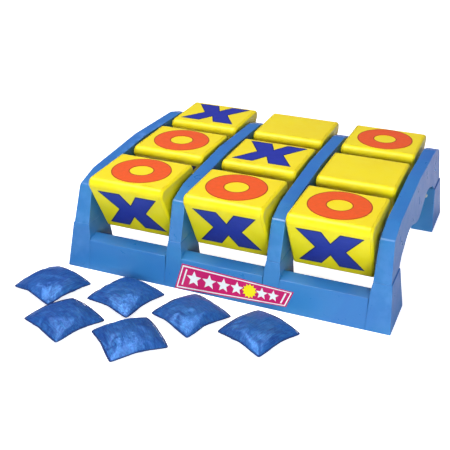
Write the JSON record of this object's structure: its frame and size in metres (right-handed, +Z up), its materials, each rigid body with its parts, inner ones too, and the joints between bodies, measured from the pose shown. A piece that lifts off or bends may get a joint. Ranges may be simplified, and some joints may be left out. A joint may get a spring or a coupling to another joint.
{
  "type": "tic tac toe toss",
  "caption": "Lawn toss game: a low plastic frame holding spinning three-sided targets marked X, O and blank in a square grid, with bean bags to throw.",
  "frame": {"origin": "on the floor, at the middle of the front edge of the front beam", "axes": "+X to the player's right, +Y from the front beam to the rear beam, +Z up"},
  "size_m": [0.5398, 0.6219, 0.1493],
  "materials": {
    "frame_plastic": "smooth moulded blue plastic, satin gloss",
    "target_plastic": "glossy moulded yellow plastic",
    "ring_print": "orange printed vinyl",
    "cross_print": "royal blue printed vinyl",
    "axle_steel": "plain drawn steel rod",
    "screw_steel": "zinc-plated screws",
    "spacer_nylon": "natural nylon",
    "badge": "printed vinyl badge, plain stripes and stars",
    "bag_fabric": "satin-weave blue polyester"
  },
  "bodies": {
    "frame": {"front_beam": "frame_plastic", "rear_beam": "frame_plastic", "left_side_rail": "frame_plastic", "right_side_rail": "frame_plastic", "left_middle_rail": "frame_plastic", "right_middle_rail": "frame_plastic", "frame_screws": "screw_steel", "front_badge": "badge", "front_axle": "axle_steel", "front_spacers": "spacer_nylon", "middle_axle": "axle_steel", "middle_spacers": "spacer_nylon", "rear_axle": "axle_steel", "rear_spacers": "spacer_nylon"},
    "front_left_target": {"front_left_shell": "target_plastic", "front_left_caps": "target_plastic", "front_left_ring": "ring_print", "front_left_cross": "cross_print"},
    "front_centre_target": {"front_centre_shell": "target_plastic", "front_centre_caps": "target_plastic", "front_centre_ring": "ring_print", "front_centre_cross": "cross_print"},
    "front_right_target": {"front_right_shell": "target_plastic", "front_right_caps": "target_plastic", "front_right_ring": "ring_print", "front_right_cross": "cross_print"},
    "middle_left_target": {"middle_left_shell": "target_plastic", "middle_left_caps": "target_plastic", "middle_left_ring": "ring_print", "middle_left_cross": "cross_print"},
    "middle_centre_target": {"middle_centre_shell": "target_plastic", "middle_centre_caps": "target_plastic", "middle_centre_ring": "ring_print", "middle_centre_cross": "cross_print"},
    "middle_right_target": {"middle_right_shell": "target_plastic", "middle_right_caps": "target_plastic", "middle_right_ring": "ring_print", "middle_right_cross": "cross_print"},
    "rear_left_target": {"rear_left_shell": "target_plastic", "rear_left_caps": "target_plastic", "rear_left_ring": "ring_print", "rear_left_cross": "cross_print"},
    "rear_centre_target": {"rear_centre_shell": "target_plastic", "rear_centre_caps": "target_plastic", "rear_centre_ring": "ring_print", "rear_centre_cross": "cross_print"},
    "rear_right_target": {"rear_right_shell": "target_plastic", "rear_right_caps": "target_plastic", "rear_right_ring": "ring_print", "rear_right_cross": "cross_print"},
    "bag_1": {"bean_bag_1": "bag_fabric"},
    "bag_2": {"bean_bag_2": "bag_fabric"},
    "bag_3": {"bean_bag_3": "bag_fabric"},
    "bag_4": {"bean_bag_4": "bag_fabric"},
    "bag_5": {"bean_bag_5": "bag_fabric"},
    "bag_6": {"bean_bag_6": "bag_fabric"}
  },
  "joints": [
    {"name": "front_left_spin", "type": "hinge", "parent": "frame", "child": "front_left_target", "pos_m": [-0.15105, 0.0635, 0.1124], "axis": [1, 0, 0], "continuous": true},
    {"name": "front_centre_spin", "type": "hinge", "parent": "frame", "child": "front_centre_target", "pos_m": [0, 0.0635, 0.1124], "axis": [1, 0, 0], "continuous": true},
    {"name": "front_right_spin", "type": "hinge", "parent": "frame", "child": "front_right_target", "pos_m": [0.15105, 0.0635, 0.1124], "axis": [1, 0, 0], "continuous": true},
    {"name": "middle_left_spin", "type": "hinge", "parent": "frame", "child": "middle_left_target", "pos_m": [-0.15105, 0.2075, 0.1098], "axis": [1, 0, 0], "continuous": true},
    {"name": "middle_centre_spin", "type": "hinge", "parent": "frame", "child": "middle_centre_target", "pos_m": [0, 0.2075, 0.1098], "axis": [1, 0, 0], "continuous": true},
    {"name": "middle_right_spin", "type": "hinge", "parent": "frame", "child": "middle_right_target", "pos_m": [0.15105, 0.2075, 0.1098], "axis": [1, 0, 0], "continuous": true},
    {"name": "rear_left_spin", "type": "hinge", "parent": "frame", "child": "rear_left_target", "pos_m": [-0.15105, 0.3515, 0.1072], "axis": [1, 0, 0], "continuous": true},
    {"name": "rear_centre_spin", "type": "hinge", "parent": "frame", "child": "rear_centre_target", "pos_m": [0, 0.3515, 0.1072], "axis": [1, 0, 0], "continuous": true},
    {"name": "rear_right_spin", "type": "hinge", "parent": "frame", "child": "rear_right_target", "pos_m": [0.15105, 0.3515, 0.1072], "axis": [1, 0, 0], "continuous": true},
    {"name": "bag_1_lift", "type": "slide", "parent": "frame", "child": "bag_1", "axis": [0, 0, 1], "range_m": [0, 0.25]},
    {"name": "bag_2_lift", "type": "slide", "parent": "frame", "child": "bag_2", "axis": [0, 0, 1], "range_m": [0, 0.25]},
    {"name": "bag_3_lift", "type": "slide", "parent": "frame", "child": "bag_3", "axis": [0, 0, 1], "range_m": [0, 0.25]},
    {"name": "bag_4_lift", "type": "slide", "parent": "frame", "child": "bag_4", "axis": [0, 0, 1], "range_m": [0, 0.25]},
    {"name": "bag_5_lift", "type": "slide", "parent": "frame", "child": "bag_5", "axis": [0, 0, 1], "range_m": [0, 0.25]},
    {"name": "bag_6_lift", "type": "slide", "parent": "frame", "child": "bag_6", "axis": [0, 0, 1], "range_m": [0, 0.25]}
  ]
}
